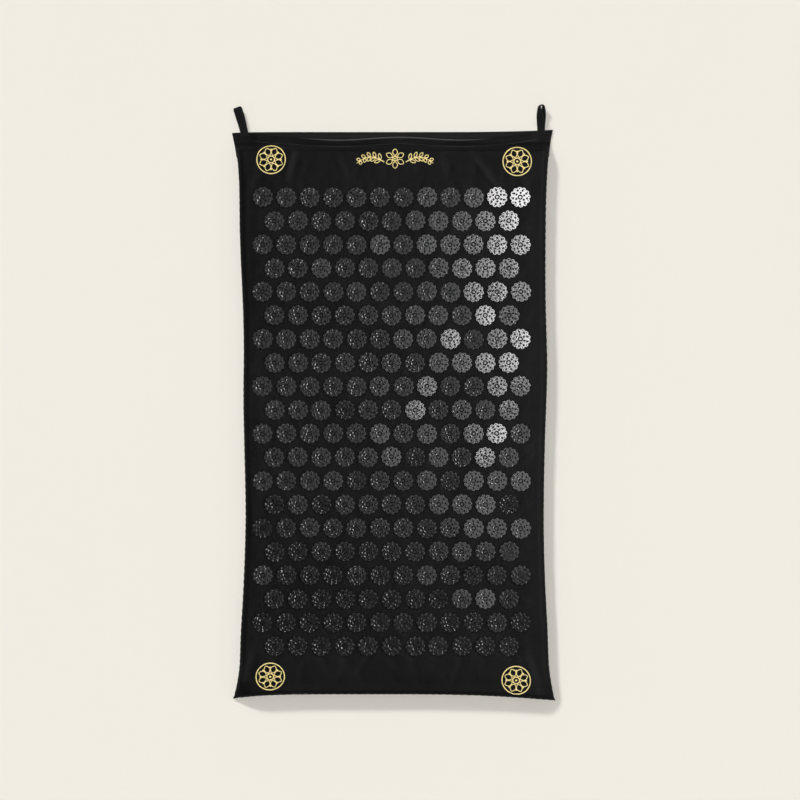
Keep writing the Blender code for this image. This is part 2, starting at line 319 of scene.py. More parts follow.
def half_width(y, side):
    """Half the width at y: a slow bow, a flare at the corners, and a bell for each bulge of that side."""
    share = np.abs(y) / top_end
    half = waist_half + side_draw * share**2 + corner_flare * share**corner_power
    for bulge_side, middle, spread, out in side_bulges:
        half = half + (side == bulge_side) * out * bell((y - middle) / spread)
    return half


def rise_over(inset):
    """Height share of a round shoulder at a distance in from its foot: a quarter circle, then flat."""
    share = np.clip(inset / shoulder_reach, 0, 1)
    return np.sqrt(1 - (1 - share) ** 2)


def side_rise(x, y):
    """Height share over the side seams and over the seam of the bottom end."""
    return rise_over(half_width(y, np.sign(x)) - np.abs(x)) * rise_over(y - bottom_end)


def cover_rows():
    """The y of each row: packed round the bottom shoulder, and even from there to the root and the top."""
    turn = np.linspace(0, np.pi / 2, shoulder_cells + 1)
    bottom = bottom_end + shoulder_reach * (1 - np.cos(turn))
    flat = np.linspace(bottom_end + shoulder_reach, flap_root_y, cells_along + 1)[1:]
    mouth = np.linspace(flap_root_y, top_end, mouth_cells + 1)[1:]
    return np.concatenate([bottom, flat, mouth])


def cover_columns(y):
    """The x of each point of the rows: packed round the side shoulders, even between them.

    Towards the mouth two of the columns swing over to the ends of the mouth and follow them."""
    turn = np.linspace(0, np.pi / 2, shoulder_cells + 1)[:-1]
    share = np.arange(-flat_cells_half, flat_cells_half + 1) / flat_cells_half
    side = np.sign(share)
    foot_left, foot_right = half_width(y, -1)[:, None], half_width(y, 1)[:, None]
    flat_half = np.where(share < 0, foot_left, foot_right) - shoulder_reach
    even = share * flat_half
    last = mouth_cells_half / flat_cells_half
    beyond = mouth_half + (np.abs(share) - last) / (1 - last) * (flat_half - mouth_half)
    at_mouth = np.where(np.abs(share) <= last, share / last * mouth_half, side * beyond)
    near = smooth_step((y - flap_root_y + column_swing) / column_swing)[:, None]
    flat = even + (at_mouth - even) * near
    left = -(foot_left - shoulder_reach * (1 - np.cos(turn)))
    right = foot_right - shoulder_reach * (1 - np.cos(turn[::-1]))
    return np.concatenate([left, flat, right], axis=1)


def droop_at(x, y):
    """1 where the seam lies on the floor, along the mouth and at the tips of the bottom corners."""
    to_mouth = smooth_step((y - flap_root_y + seam_ease) / seam_ease)
    across = np.abs(x) / half_width(y, np.sign(x))
    outwards = np.clip(across, 0, 1) ** corner_power
    to_corner = smooth_step((bottom_end + seam_ease - y) / seam_ease) * outwards
    return np.maximum(to_mouth, to_corner)


def end_shift(across, draw, powers, corners):
    """The draw at an end's middle, fading to the shift of each corner by a power of the way there."""
    reach = np.abs(across) ** np.where(across < 0, *powers)
    return draw * (1 - reach) + np.where(across < 0, *corners) * reach


def pucker_wave(along):
    """A sine along the seam whose pitch comes and goes a little."""
    return np.sin(2 * np.pi * along / pucker_pitch + 2 * np.sin(40 * along))


def settle(x, y, z):
    """Draws the ends in at the middle, shifts the corners a little, and puckers the cloth at the seam."""
    half = half_width(y, np.sign(x))
    across = np.clip(x / half, -1, 1)
    at_top = smooth_step((y - flap_root_y) / (top_end - flap_root_y))
    at_bottom = np.clip(-y / top_end, 0, 1) ** corner_power
    shift = at_top * end_shift(across, *top_line) + at_bottom * end_shift(across, *bottom_line)
    inset_x, inset_y = half - np.abs(x), y - bottom_end
    side = bell(inset_x / pucker_reach) * (1 - smooth_step((y - pucker_end_y) / pucker_fade))
    wrinkle = pucker_depth * (1 + 0.6 * np.sin(9 * y) * np.sin(7 * x))
    x = x + np.sign(x) * side * wrinkle * pucker_wave(y)
    shift = shift - bell(inset_y / pucker_reach) * wrinkle * pucker_wave(x)
    x = x - np.sign(x) * seam_tuck * bell(inset_x / seam_tuck_reach) * (y < flap_root_y)
    shift = shift + seam_tuck * bell(inset_y / seam_tuck_reach)
    return np.stack([x, y + shift, z], axis=-1)


def add_map(piece, name, flat):
    """A UV map that gives each point of a piece its place in flat, in metres."""
    mesh = piece.data
    corner = np.empty(len(mesh.loops), int)
    mesh.loops.foreach_get("vertex_index", corner)
    layer = mesh.uv_layers.new(name=name)
    layer.data.foreach_set("uv", flat.reshape(-1, 2)[corner].ravel())


def add_cloth_map(piece, points):
    """A UV map in metres along the cloth: distance over the surface across it and along it."""
    across = np.linalg.norm(np.diff(points, axis=1, prepend=points[:, :1]), axis=2).cumsum(1)
    along = np.linalg.norm(np.diff(points, axis=0, prepend=points[:1]), axis=2).cumsum(0)
    across = across - across[:, across.shape[1] // 2][:, None]
    add_map(piece, "cloth", np.stack([across, along], axis=-1))


def add_shares(piece, name, shares):
    """A value from 0 to 1 for each point, such as how far the cloth is rubbed, for its material."""
    layer = piece.data.attributes.new(name, "FLOAT", "POINT")
    layer.data.foreach_set("value", np.ascontiguousarray(shares, np.float32).ravel())


def add_thickness(piece, thickness):
    """A wall under the cloth. Its borders are marked sharp, so that a cut edge doesn't shade the face."""
    mesh = piece.data
    edge = np.empty(len(mesh.loops), int)
    mesh.loops.foreach_get("edge_index", edge)
    mesh.edges.foreach_set("use_edge_sharp", np.bincount(edge, minlength=len(mesh.edges)) == 1)
    solidify = piece.modifiers.new("Thickness", "SOLIDIFY")
    solidify.thickness = thickness
    solidify.offset = -1


def new_group(name, number, results):
    """A node group that takes a Vector and one number: the group, what it is given, and its output."""
    group = bpy.data.node_groups.new(name, "ShaderNodeTree")
    group.interface.new_socket("Vector", in_out="INPUT", socket_type="NodeSocketVector")
    group.interface.new_socket(number, in_out="INPUT", socket_type="NodeSocketFloat")
    for result in results:
        group.interface.new_socket(result, in_out="OUTPUT", socket_type="NodeSocketFloat")
    given = group.nodes.new("NodeGroupInput").outputs
    return group, given, group.nodes.new("NodeGroupOutput")


def weave_group():
    """Plain weave: crossed ridges of two sets of threads, a checker saying which set lies on top.

    In: Vector in metres along the cloth, and the Pitch of the threads. Out: Height, and a share of
    painted shade between the threads."""
    group, given, output = new_group("weave", "Pitch", ("Height", "Gap"))
    wobble = add_node(group, "TexNoise", Vector=given["Vector"], Scale=260, Detail=2)
    shake = maths(group, "MULTIPLY", wobble.outputs["Fac"], 1.6)
    split = add_node(group, "SeparateXYZ", Vector=given["Vector"])
    waves = []
    for axis in ("X", "Y"):
        turns = maths(group, "DIVIDE", split.outputs[axis], given["Pitch"])
        waves.append(maths(group, "SINE", maths(group, "MULTIPLY_ADD", turns, np.pi, shake)))
    warp, weft = (maths(group, "ABSOLUTE", wave) for wave in waves)
    checker = maths(group, "GREATER_THAN", maths(group, "MULTIPLY", *waves), 0)
    other = maths(group, "SUBTRACT", 1, checker)
    over_warp = maths(group, "MULTIPLY", maths(group, "MULTIPLY_ADD", weft, 0.35, warp), checker)
    over_weft = maths(group, "MULTIPLY", maths(group, "MULTIPLY_ADD", warp, 0.35, weft), other)
    height = maths(group, "ADD", over_warp, over_weft)
    # painted shade: the low places between the threads
    gap = maths(group, "SUBTRACT", 1, maths(group, "MINIMUM", height, 1))
    join(group, output, Height=height, Gap=gap)
    return group


def fibre_group():
    """Fibres and wear: fine streaky noise, slow patches of wear, and a few specks of lint.

    In: Vector in metres, and the Scale of the streaks. Out: Streaks, Wear and Lint, from 0 to 1."""
    group, given, output = new_group("fibres", "Scale", ("Streaks", "Wear", "Lint"))
    place = given["Vector"]
    stretched = add_node(group, "Mapping", Vector=place, Scale=(1, 0.22, 1)).outputs[0]
    fine = add_node(group, "TexNoise", Vector=stretched, Scale=given["Scale"], Detail=4).outputs["Fac"]
    slow = add_node(group, "TexNoise", Vector=place, Scale=9, Detail=4, Roughness=0.6).outputs["Fac"]
    specks = add_node(group, "TexVoronoi", Vector=place, Scale=95).outputs["Distance"]
    wear = add_node(group, "MapRange", Value=slow, From_Min=0.35, From_Max=0.7).outputs["Result"]
    lint = add_node(group, "MapRange", Value=specks, From_Min=0.030, From_Max=0.018).outputs["Result"]
    join(group, output, Streaks=fine, Wear=wear, Lint=lint)
    return group


weave = weave_group()
fibres = fibre_group()


def cloth_material(name, dark, light, edge, pitch, relief, roughness, sheen):
    """Woven cloth: weave threads with gaps painted darker as shade, worn patches lighter, and a lighter tone
    laid on by a point attribute.
    """
    material, tree, shader = new_material(name)
    place = add_node(tree, "UVMap", {"uv_map": "cloth"}).outputs[0]
    woven = add_node(tree, "Group", {"node_tree": weave}, Vector=place, Pitch=pitch)
    worn = add_node(tree, "Group", {"node_tree": fibres}, Vector=place, Scale=cloth_fibre_scale)
    streaks, wear = worn.outputs["Streaks"], worn.outputs["Wear"]
    tone = maths(tree, "MULTIPLY_ADD", streaks, 0.5, wear)
    # the gaps between threads are painted darker, as shade
    tone = maths(tree, "SUBTRACT", tone, maths(tree, "MULTIPLY", woven.outputs["Gap"], 0.45))
    share = maths(tree, "ADD", maths(tree, "MULTIPLY", tone, 0.6), worn.outputs["Lint"])
    share = add_node(tree, "Clamp", Value=share).outputs[0]
    # The point attribute lays on a lighter tone: painted highlight on crease ridges and on the hem's turned
    # edge, worn selvedges on the webbing, and a lighter end of the back lip.
    wear_and_highlight_share = add_node(tree, "Attribute", {"attribute_name": "wear_and_highlight"}).outputs["Fac"]
    wear_and_highlight_share = maths(tree, "MULTIPLY", wear_and_highlight_share, maths(tree, "ADD", streaks, 0.45))
    cloth = blend_colours(tree, share, dark, light)
    height = maths(tree, "MULTIPLY_ADD", streaks, 0.5, woven.outputs["Height"])
    join(
        tree,
        shader,
        Base_Color=blend_colours(tree, wear_and_highlight_share, cloth, edge),
        Normal=bump(tree, height, relief),
        Roughness=maths(tree, "MULTIPLY_ADD", wear, -0.06, roughness),
        Specular_IOR_Level=cloth_gloss,
        Sheen_Weight=sheen,
        Sheen_Roughness=sheen_roughness,
        Sheen_Tint=sheen_tint,
    )
    return material


canvas = cloth_material(
    "black_canvas", canvas_black, canvas_worn, canvas_lighter, thread_pitch, canvas_relief, 0.60, 0.035
)


def back_cloth_points():
    """Height: the seam's, falling to the floor with the shoulder's quarter circle."""
    y = cover_rows()
    x = cover_columns(y)
    y = np.broadcast_to(y[:, None], x.shape)
    edge = (side_seam_height - seam_gap) * (1 - droop_at(x, y))
    return settle(x, y, edge * (1 - side_rise(x, y)))


back_points = back_cloth_points()
back_cloth = new_piece("back_cloth", back_points, [grid_faces(*back_points.shape[:2])[:, ::-1]], canvas)
add_cloth_map(back_cloth, back_points)
# the back lip is coloured lighter towards its end
on_lip = smooth_step((back_points[..., 1] - lip_lighter_from) / lip_lighter_fade)
add_shares(back_cloth, "wear_and_highlight", lip_lighter_share * on_lip)
add_thickness(back_cloth, canvas_thickness)
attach(back_cloth, "cover")
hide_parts("back_panel")

# Cover, front cloth
# The same canvas over the foam, down its sides to the seam, where it is sewn to the back cloth inside
# out. It is drawn tight, dips under each rosette, sags at the empty corners and creases at the mouth.
fin_top = 0.0019
hem_y = 0.3608
hem_wave = 0.0019
hem_wave_length = 0.160
hem_crest_x = 0.0074
hem_end_y = 0.3672
hem_turn_x = 0.150
flap_fin_top = 0.0049
# x of the middle, spread, how far the hem lifts
hem_gapes = ((-0.091, 0.013, 0.0016), (0.105, 0.026, 0.0020), (0.010, 0.020, -0.0006))
tape_end = 0.178
fall_start = flap_root_y + 0.0045
fall_length = 0.0130
fall_power = 1.2
ear_reach = 0.022
ear_sag_share = 0.90
crease_width = 0.0042
crease_ridge_offset = 0.0076
crease_dip_share = 0.35
crease_end_share = 0.42
# how strongly crease ridges are painted lighter, as highlight
crease_highlight_rate = 26
disc_low, disc_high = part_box("rosette_1_01")
rosette_radius = (disc_high.x - disc_low.x) / 2
full_row_count = 12
row_count = 20
row_left, row_top = middle_of("rosette_1_01", 0), middle_of("rosette_1_01", 1)
row_pitch = row_top - middle_of("rosette_2_01", 1)
across_pitch = (middle_of("rosette_1_12", 0) - row_left) / (full_row_count - 1)
dimple_depth = 0.0004
dimple_power = 0.8
# height, wavelength and seed of each set of slow waves
cloth_wave_sets = ((0.00035, 0.075, 3), (0.00016, 0.024, 8))
wavelength_range = (0.7, 1.5)
# the sheet that is pressed up: its first waves, its cell, its corners, its slack, how far it may rise
press_waves = (0.0005, 0.045, 5)
relief_cell = 0.0040
relief_low, relief_high = (-0.186, -0.352), (0.186, 0.336)
cloth_slack = 0.004
relief_limits = (-0.0001, 0.0013)
foam_pressure = 4
press_steps = 20
bonded_share = 0.86
creases = (
    # x, y of one end, x, y of the other, depth
    (-0.123, 0.3480, -0.134, 0.2990, 0.0017),
    (0.104, 0.3480, 0.141, 0.2990, 0.0019),
    (0.066, 0.3440, 0.074, 0.3080, 0.0009),
    (-0.070, 0.3440, -0.052, 0.3060, 0.0009),
    (0.165, 0.3400, 0.186, 0.2700, 0.0007),
    (-0.168, 0.3400, -0.187, 0.2750, 0.0007),
    (-0.178, -0.3050, -0.196, -0.3560, 0.0009),
    (0.176, -0.3000, 0.195, -0.3550, 0.0009),
    (-0.060, -0.3250, -0.080, -0.3600, 0.0005),
    (0.090, -0.3240, 0.074, -0.3600, 0.0005),
)


def rosette_places():
    """(row, x, y) of all rosettes: every other row lies half a pitch over and has one less."""
    places = []
    for row in range(row_count):
        count = full_row_count - row % 2
        for column in range(count):
            x = row_left + across_pitch * (column + row % 2 / 2)
            places.append((row, x, row_top - row_pitch * row))
    return places


places = rosette_places()


def slow_waves(x, y, height, wavelength, seed, count=7):
    """The mean of plane cosine waves whose directions, phases and lengths near the given one are seeded."""
    random = np.random.default_rng(seed)
    total = np.zeros(np.broadcast(x, y).shape)
    for _ in range(count):
        heading, phase = random.uniform(0, 2 * np.pi, 2)
        along = x * np.cos(heading) + y * np.sin(heading)
        total += np.cos(2 * np.pi * along / (wavelength * random.uniform(*wavelength_range)) + phase)
    return height * (total / count)


def cloth_waves(x, y):
    return sum(slow_waves(x, y, *wave_set) for wave_set in cloth_wave_sets)


def pressed_cloth():
    """Heights, on a grid, of a cloth that the foam presses up between the rosettes that hold it down.

    A flat simulated sheet with a little slack is held along its border and under each rosette."""
    across = np.arange(relief_low[0], relief_high[0], relief_cell)
    along = np.arange(relief_low[1], relief_high[1], relief_cell)
    x, y = np.meshgrid(across, along)
    points = np.stack([x, y, slow_waves(x, y, *press_waves)], axis=-1)
    sheet = new_piece("pressed_cloth", points, [grid_faces(*x.shape)], canvas)
    held = np.zeros(x.shape, bool)
    held[[0, -1]] = held[:, [0, -1]] = True
    for _, centre_x, centre_y in places:
        held |= np.hypot(x - centre_x, y - centre_y) < bonded_share * rosette_radius
    sheet.vertex_groups.new(name="held").add(np.flatnonzero(held).tolist(), 1, "REPLACE")
    cloth = sheet.modifiers.new("Cloth", "CLOTH")
    cloth.settings.vertex_group_mass = "held"
    cloth.settings.use_pressure = True
    cloth.settings.uniform_pressure_force = foam_pressure
    cloth.settings.shrink_min = -cloth_slack
    cloth.settings.effector_weights.gravity = 0
    cloth.collision_settings.use_collision = False
    cloth.point_cache.frame_end = press_steps
    for step in range(1, press_steps + 1):
        bpy.context.scene.frame_set(step)
    shaped = sheet.evaluated_get(bpy.context.evaluated_depsgraph_get()).data
    moved = np.empty(3 * x.size, np.float32)
    shaped.vertices.foreach_get("co", moved)
    bpy.data.meshes.remove(sheet.data)
    bpy.context.scene.frame_set(1)
    return np.clip(moved.reshape(*x.shape, 3)[..., 2], *relief_limits)


pressed = pressed_cloth()


def pressed_height(x, y):
    """The pressed cloth's height between its grid points, in a straight line each way."""
    row = np.clip((y - relief_low[1]) / relief_cell, 0, pressed.shape[0] - 1.001)
    column = np.clip((x - relief_low[0]) / relief_cell, 0, pressed.shape[1] - 1.001)
    i, j = row.astype(int), column.astype(int)
    u, v = row - i, column - j
    near = pressed[i, j] * (1 - v) + pressed[i, j + 1] * v
    return near * (1 - u) + (pressed[i + 1, j] * (1 - v) + pressed[i + 1, j + 1] * v) * u


def cloth_creases(x, y):
    """The ridges and the dips of the creases, as two heights, each fading to the ends of its line.

    A dip is a bell of the distance to its line, and a taller ridge is the same bell moved aside."""
    ridges, dips = 0 * x, 0 * x
    for x0, y0, x1, y1, depth in creases:
        run = np.array([x1 - x0, y1 - y0])
        length = np.hypot(*run)
        along = ((x - x0) * run[0] + (y - y0) * run[1]) / length**2
        aside = ((x - x0) * run[1] - (y - y0) * run[0]) / length
        height = depth * np.exp(-(((along - 0.5) / crease_end_share) ** 4))
        ridges = ridges + height * bell((aside - crease_ridge_offset) / crease_width)
        dips = dips + crease_dip_share * height * bell(aside / crease_width)
    return ridges, dips


def cloth_dimples(x, y):
    """A dip under each rosette, flat in the middle: a bell of the fourth power of the distance."""
    relief = 0 * x
    for _, centre_x, centre_y in places:
        near = ((x - centre_x) ** 2 + (y - centre_y) ** 2) / rosette_radius**2
        relief = relief - dimple_depth * np.exp(-dimple_power * near**2)
    return relief


def hem_line(x):
    """The hem's y: a slow wave, running out towards the corner at each end of the mouth."""
    wave = hem_y + hem_wave * np.cos(2 * np.pi * (x - hem_crest_x) / hem_wave_length)
    out = smooth_step((np.abs(x) - hem_turn_x) / (mouth_half - hem_turn_x))
    return wave + (hem_end_y - wave) * out


def past_tape(x):
    """0 along the closure tapes, and 1 at the ends of the mouth."""
    return smooth_step((np.abs(x) - tape_end) / (mouth_half - tape_end))


def fin_height(x):
    """The hem lies on the tapes, gapes a little in two places, and comes down to the back lip at its ends."""
    height = flap_fin_top + 0 * x
    for middle, spread, lift in hem_gapes:
        height = height + lift * bell((x - middle) / spread)
    return height + (fin_top - height) * past_tape(x)


def front_height(x, y):
    """Height of the front cloth's outer face: it rises from the seam over the shoulder to the foam's top.

    Towards the mouth it falls in a soft curve, a power of a smooth step, and runs on flat to the hem."""
    inset_x = half_width(y, np.sign(x)) - np.abs(x)
    sag = np.clip(1 - inset_x / ear_reach, 0, 1) * np.clip(1 - (y - bottom_end) / ear_reach, 0, 1)
    edge = side_seam_height + (fin_height(x) - side_seam_height) * droop_at(x, y)
    fall = smooth_step((y - fall_start) / fall_length) ** fall_power
    rise = side_rise(x, y) * (1 - ear_sag_share * sag) * (1 - fall)
    ridges, dips = cloth_creases(x, y)
    relief = cloth_waves(x, y) + ridges - dips + cloth_dimples(x, y) + pressed_height(x, y)
    return edge + (cover_top - edge + relief) * rise


def crease_highlight(x, y):
    """A painted highlight along the ridges of the creases: the cloth is coloured lighter there."""
    return crease_highlight_rate * cloth_creases(x, y)[0]


def front_cloth_faces(rows, columns):
    """The whole grid less the rectangle that the mouth flap fills."""
    faces = grid_faces(rows, columns).reshape(rows - 1, columns - 1, 4)
    root_row = np.argmin(np.abs(cover_rows() - flap_root_y))
    side_columns = shoulder_cells + flat_cells_half - mouth_cells_half
    keep = np.ones(faces.shape[:2], bool)
    keep[root_row:, side_columns:-side_columns] = False
    return faces[keep]


def drop_loose_points(bm):
    """Deletes the points that no face uses, where the flap fills the grid."""
    bmesh.ops.delete(bm, geom=[point for point in bm.verts if not point.link_faces], context="VERTS")


front_y = cover_rows()
front_x = cover_columns(front_y)
front_y = np.broadcast_to(front_y[:, None], front_x.shape)
front_points = settle(front_x, front_y, front_height(front_x, front_y))
front_cloth = new_piece("front_cloth", front_points, [front_cloth_faces(*front_points.shape[:2])], canvas)
add_cloth_map(front_cloth, front_points)
# crease ridges painted lighter, as highlight
add_shares(front_cloth, "wear_and_highlight", crease_highlight(front_x, front_y))
change_mesh(front_cloth, drop_loose_points)
add_thickness(front_cloth, canvas_thickness)
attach(front_cloth, "cover")
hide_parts("front_panel")

# Mouth flap
# The hemmed edge of the front cloth, over the top end of the foam. Its loop tape presses on the hook
# tape of the back lip. It is two halves here, which meet at the middle of the mouth.
flap_rows = 32
hem_edge_radius = 0.0009
hem_edge_turns = (0.45, 0.95, 1.5)
hem_band = 0.0085
hem_groove_width = 0.0008
hem_groove_depth = 0.0003
hem_step = 0.0004
hem_step_reach = 0.0012
# how far the last rows of the flap are painted lighter towards the turned edge, as a highlight along the hem
hem_highlight_shares = (0.10, 0.40, 0.75, 0.65, 0.30)
hem_highlight_half = 0.075
hem_highlight_fade = 0.060


def flap_height(x, y):
    """The front cloth's height, prouder over the double hem, with a groove along its stitches.

    Both fade out where the hem comes down to the lip at its ends."""
    from_hem = hem_line(x) - y
    band = smooth_step((hem_band - from_hem) / hem_step_reach)
    groove = bell((from_hem - hem_band) / hem_groove_width)
    return front_height(x, y) + (1 - past_tape(x)) * (hem_step * band - hem_groove_depth * groove)


def flap_points(first, last):
    """The rows run from the flap's root to the hem, and turn down round its edge."""
    x = cover_columns(np.array([flap_root_y]))[0][first:last]
    share = np.linspace(0, 1, flap_rows)[:, None]
    y = flap_root_y + (hem_line(x) - flap_root_y) * share
    x = np.broadcast_to(x, y.shape)
    z = flap_height(x, y)
    turn = np.array(hem_edge_turns)[:, None]
    edge_y = y[-1] + hem_edge_radius * np.sin(turn)
    edge_z = z[-1] - hem_edge_radius * (1 - np.cos(turn))
    x = np.concatenate([x, np.broadcast_to(x[-1], edge_y.shape)])
    return settle(x, np.concatenate([y, edge_y]), np.concatenate([z, edge_z]))


def bend_with_flap(piece):
    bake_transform(piece)


middle_column = shoulder_cells + flat_cells_half
sides = (("left", -1), ("right", 1))
for side_name, side in sides:
    ends = sorted((middle_column, middle_column + side * mouth_cells_half))
    points = flap_points(ends[0], ends[1] + 1)
    half = new_piece(f"mouth_flap_{side_name}", points, [grid_faces(*points.shape[:2])], canvas)
    add_cloth_map(half, points)
    # painted highlight: crease ridges and the hem's turned edge are coloured lighter, fading towards the
    # mouth's ends
    wear = crease_highlight(points[..., 0], points[..., 1])
    middle_share = 1 - smooth_step((np.abs(points[-1, :, 0]) - hem_highlight_half) / hem_highlight_fade)
    wear[-len(hem_highlight_shares) :] += np.array(hem_highlight_shares)[:, None] * middle_share
    add_shares(half, "wear_and_highlight", wear)
    add_thickness(half, canvas_thickness)
    bend_with_flap(half)
    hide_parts("mouth_flap")

# Hem stitches
# One row of black polyester thread along the hem's band, five stitches to 16 mm, which also holds the
# loop tape under the flap. It is two halves, one on each half of the flap.
stitch_length = 0.0024
stitch_pitch = 0.0032
stitch_radius = 0.00024
stitch_lift = 0.0001
# how far the row keeps from the middle of the mouth and from its ends
row_start, row_end_gap = 0.002, 0.004
# a stitch's sections: their places along it, and their thickness
stitch_places = np.array([-0.5, -0.22, 0.22, 0.5])
stitch_shares = np.array([0.25, 1, 1, 0.25])
stitch_sides = 6
# how far apart the points are that give a stitch its direction
probe = 0.0001
twist_pitch = 0.00045
twist_relief = 0.00012
thread_gloss = 0.35
thread_black = (0.020, 0.020, 0.022)


def thread_material(name, dark, light, half_width, roughness, sheen):
    """Twisted thread: bands that wind across its length, a sine of the length along it and across it.

    The tone changes slowly along the thread; its raised bands are painted lighter as highlight, and both
    sides of a line are painted darker as shade."""
    material, tree, shader = new_material(name)
    place = add_node(tree, "UVMap", {"uv_map": "thread"}).outputs[0]
    worn = add_node(tree, "Group", {"node_tree": fibres}, Vector=place, Scale=900)
    split = add_node(tree, "SeparateXYZ", Vector=place)
    slant = maths(tree, "MULTIPLY_ADD", split.outputs["Y"], 0.9, split.outputs["X"])
    bands = maths(tree, "SINE", maths(tree, "MULTIPLY", slant, 2 * np.pi / twist_pitch))
    height = maths(tree, "MULTIPLY_ADD", bands, 0.5, 0.5)
    # painted highlight: the raised bands of the twist are coloured lighter
    tone = maths(tree, "MULTIPLY_ADD", worn.outputs["Streaks"], 0.6, maths(tree, "MULTIPLY", height, 0.5))
    aside = maths(tree, "DIVIDE", maths(tree, "ABSOLUTE", split.outputs["Y"]), half_width)
    # painted shade towards both sides of the line
    edge = maths(tree, "POWER", aside, 3)
    share = maths(tree, "MULTIPLY_ADD", edge, -0.7, maths(tree, "ADD", tone, 0.45))
    share = add_node(tree, "Clamp", Value=share).outputs[0]
    join(
        tree,
        shader,
        Base_Color=blend_colours(tree, share, dark, light),
        Normal=bump(tree, height, twist_relief),
        Roughness=maths(tree, "MULTIPLY_ADD", height, 0.12, roughness),
        Specular_IOR_Level=thread_gloss,
        Sheen_Weight=sheen,
    )
    return material


def copies(faces, count, size):
    """An array of faces repeated for count copies of a shape that has size points."""
    offset = size * np.arange(count)[:, None, None]
    return (faces + offset).reshape(-1, faces.shape[1])


def stitches(centres, directions, normals):
    """Points, faces, caps and map of short beads: rings round each stitch's line, thinner at its ends."""
    along = stitch_places * stitch_length
    turn = np.arange(stitch_sides) * 2 * np.pi / stitch_sides
    aside = np.cross(normals, directions)
    spine = centres[:, None] + directions[:, None] * along[None, :, None]
    ring = aside[:, None, None] * np.cos(turn)[:, None] + normals[:, None, None] * np.sin(turn)[:, None]
    points = spine[:, :, None] + ring * (stitch_shares * stitch_radius)[None, :, None, None]
    count, size = len(centres), len(along) * stitch_sides
    quads = grid_faces(len(along), stitch_sides, wrap=True)
    first = np.arange(stitch_sides)
    caps = np.array([first[::-1], size - stitch_sides + first])
    flat = np.stack(np.broadcast_arrays(along[:, None], turn * stitch_radius), -1)
    return points, copies(quads, count, size), copies(caps, count, size), np.tile(flat, (count, 1, 1, 1))


black_thread = thread_material("black_thread", canvas_black, thread_black, 8 * stitch_radius, 0.5, 0.1)
for side_name, side in sides:
    x = side * np.arange(row_start, mouth_half - row_end_gap, stitch_pitch)
    y = hem_line(x) - hem_band
    centres = settle(x, y, flap_height(x, y) + stitch_lift)
    next_x, next_y = x + probe, y + probe
    next_height = flap_height(next_x, hem_line(next_x) - hem_band)
    ahead = settle(next_x, y, next_height + stitch_lift) - centres
    above = settle(x, next_y, flap_height(x, next_y) + stitch_lift) - centres
    directions = ahead / np.linalg.norm(ahead, axis=1)[:, None]
    normals = np.cross(ahead, above)
    normals /= np.linalg.norm(normals, axis=1)[:, None]
    points, quads, caps, flat = stitches(centres, directions, normals)
    seam = new_piece(f"hem_stitches_{side_name}", points, [quads, caps], black_thread)
    add_map(seam, "thread", flat)
    bend_with_flap(seam)

# Closure tapes
# Hook and loop tape, 9 mm wide: the stiff hooks are sewn on the lip of the back cloth, and the soft
# loops under the flap. The loop tape is two halves, like the flap.
tape_width = 0.0086
tape_thickness = 0.0011
tape_sides = 12
tape_sections = 90
tape_waver = 0.00025
tape_gap_half = 0.0002
tape_black = (0.008, 0.008, 0.009)
tape_lit_grey = (0.026, 0.026, 0.028)


def tape_strip(node, x_from, x_to):
    """A strip with rounded edges: a flat oval section carried along x, closed at both ends.

    The section is the power 0.35 of a cosine by the power 0.5 of a sine. It rests where the node does."""
    turn = np.arange(tape_sides) * 2 * np.pi / tape_sides
    section_y = np.sign(np.cos(turn)) * np.abs(np.cos(turn)) ** 0.35 * tape_width / 2
    section_z = np.sign(np.sin(turn)) * np.abs(np.sin(turn)) ** 0.5 * tape_thickness / 2
    x = np.linspace(x_from, x_to, tape_sections)[:, None]
    y = middle_of("hook_tape", 1) + tape_waver * np.sin(41 * x) + section_y
    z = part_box(node)[0].z + tape_thickness / 2 + section_z + 0 * x
    points = settle(x + 0 * y, y, z)
    first = np.arange(tape_sides)
    ends = np.array([first[::-1], (tape_sections - 1) * tape_sides + first])
    return points, [grid_faces(tape_sections, tape_sides, wrap=True), ends]


def tape_material(name, pitch, relief, roughness):
    """Napped tape: rows of hooks or a felt of loops, as dots on a Voronoi pattern, the dots painted lighter
    than the dark ground as highlight.
    """
    material, tree, shader = new_material(name)
    place = add_node(tree, "TexCoord").outputs["Object"]
    dots = add_node(tree, "TexVoronoi", Vector=place, Scale=1 / pitch, Randomness=0.4).outputs["Distance"]
    height = add_node(tree, "MapRange", Value=dots, From_Min=0.6, From_Max=0.1).outputs["Result"]
    worn = add_node(tree, "Group", {"node_tree": fibres}, Vector=place, Scale=500)
    # painted highlight: the raised dots are coloured lighter than the ground
    share = maths(tree, "MULTIPLY", height, worn.outputs["Streaks"])
    colour = blend_colours(tree, share, tape_black, tape_lit_grey)
    join(tree, shader, Base_Color=colour, Normal=bump(tree, height, relief), Roughness=roughness)
    return material


points, faces = tape_strip("hook_tape", -tape_end, tape_end)
hooks = new_piece("hook_strip", points, faces, tape_material("hooks", 0.0009, 0.0005, 0.5))
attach(hooks, "cover")
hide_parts("hook_tape")
napped_loops = tape_material("napped_loops", 0.0006, 0.0004, 0.9)
for side_name, side in sides:
    points, faces = tape_strip("loop_tape", *sorted((side * tape_gap_half, side * tape_end)))
    loops = new_piece(f"loop_strip_{side_name}", points, faces, napped_loops)
    bend_with_flap(loops)
    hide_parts("loop_tape")

# Hanging loops
# Two folded lengths of 10 mm cotton tape, sewn into the top seam near the corners, where they bend. The
# left one leans out and rolls a little, and the right one is twisted, so that its fold is seen on edge.
webbing_width = 0.0102
webbing_thickness = 0.0010
webbing_black = (0.006, 0.006, 0.0063)
webbing_grey = (0.013, 0.013, 0.0135)
webbing_edge = (0.030, 0.030, 0.031)
webbing_pitch = 0.00075
webbing_relief = 0.00016
selvedge_wear_share = 0.6
foot_height = 0.0015
# how far the legs run back into the seam, and half the gap between them there
leg_root = 0.004
leg_gap_half = 0.00055
leg_cells = 22
nose_cells = 10
width_cells = 8


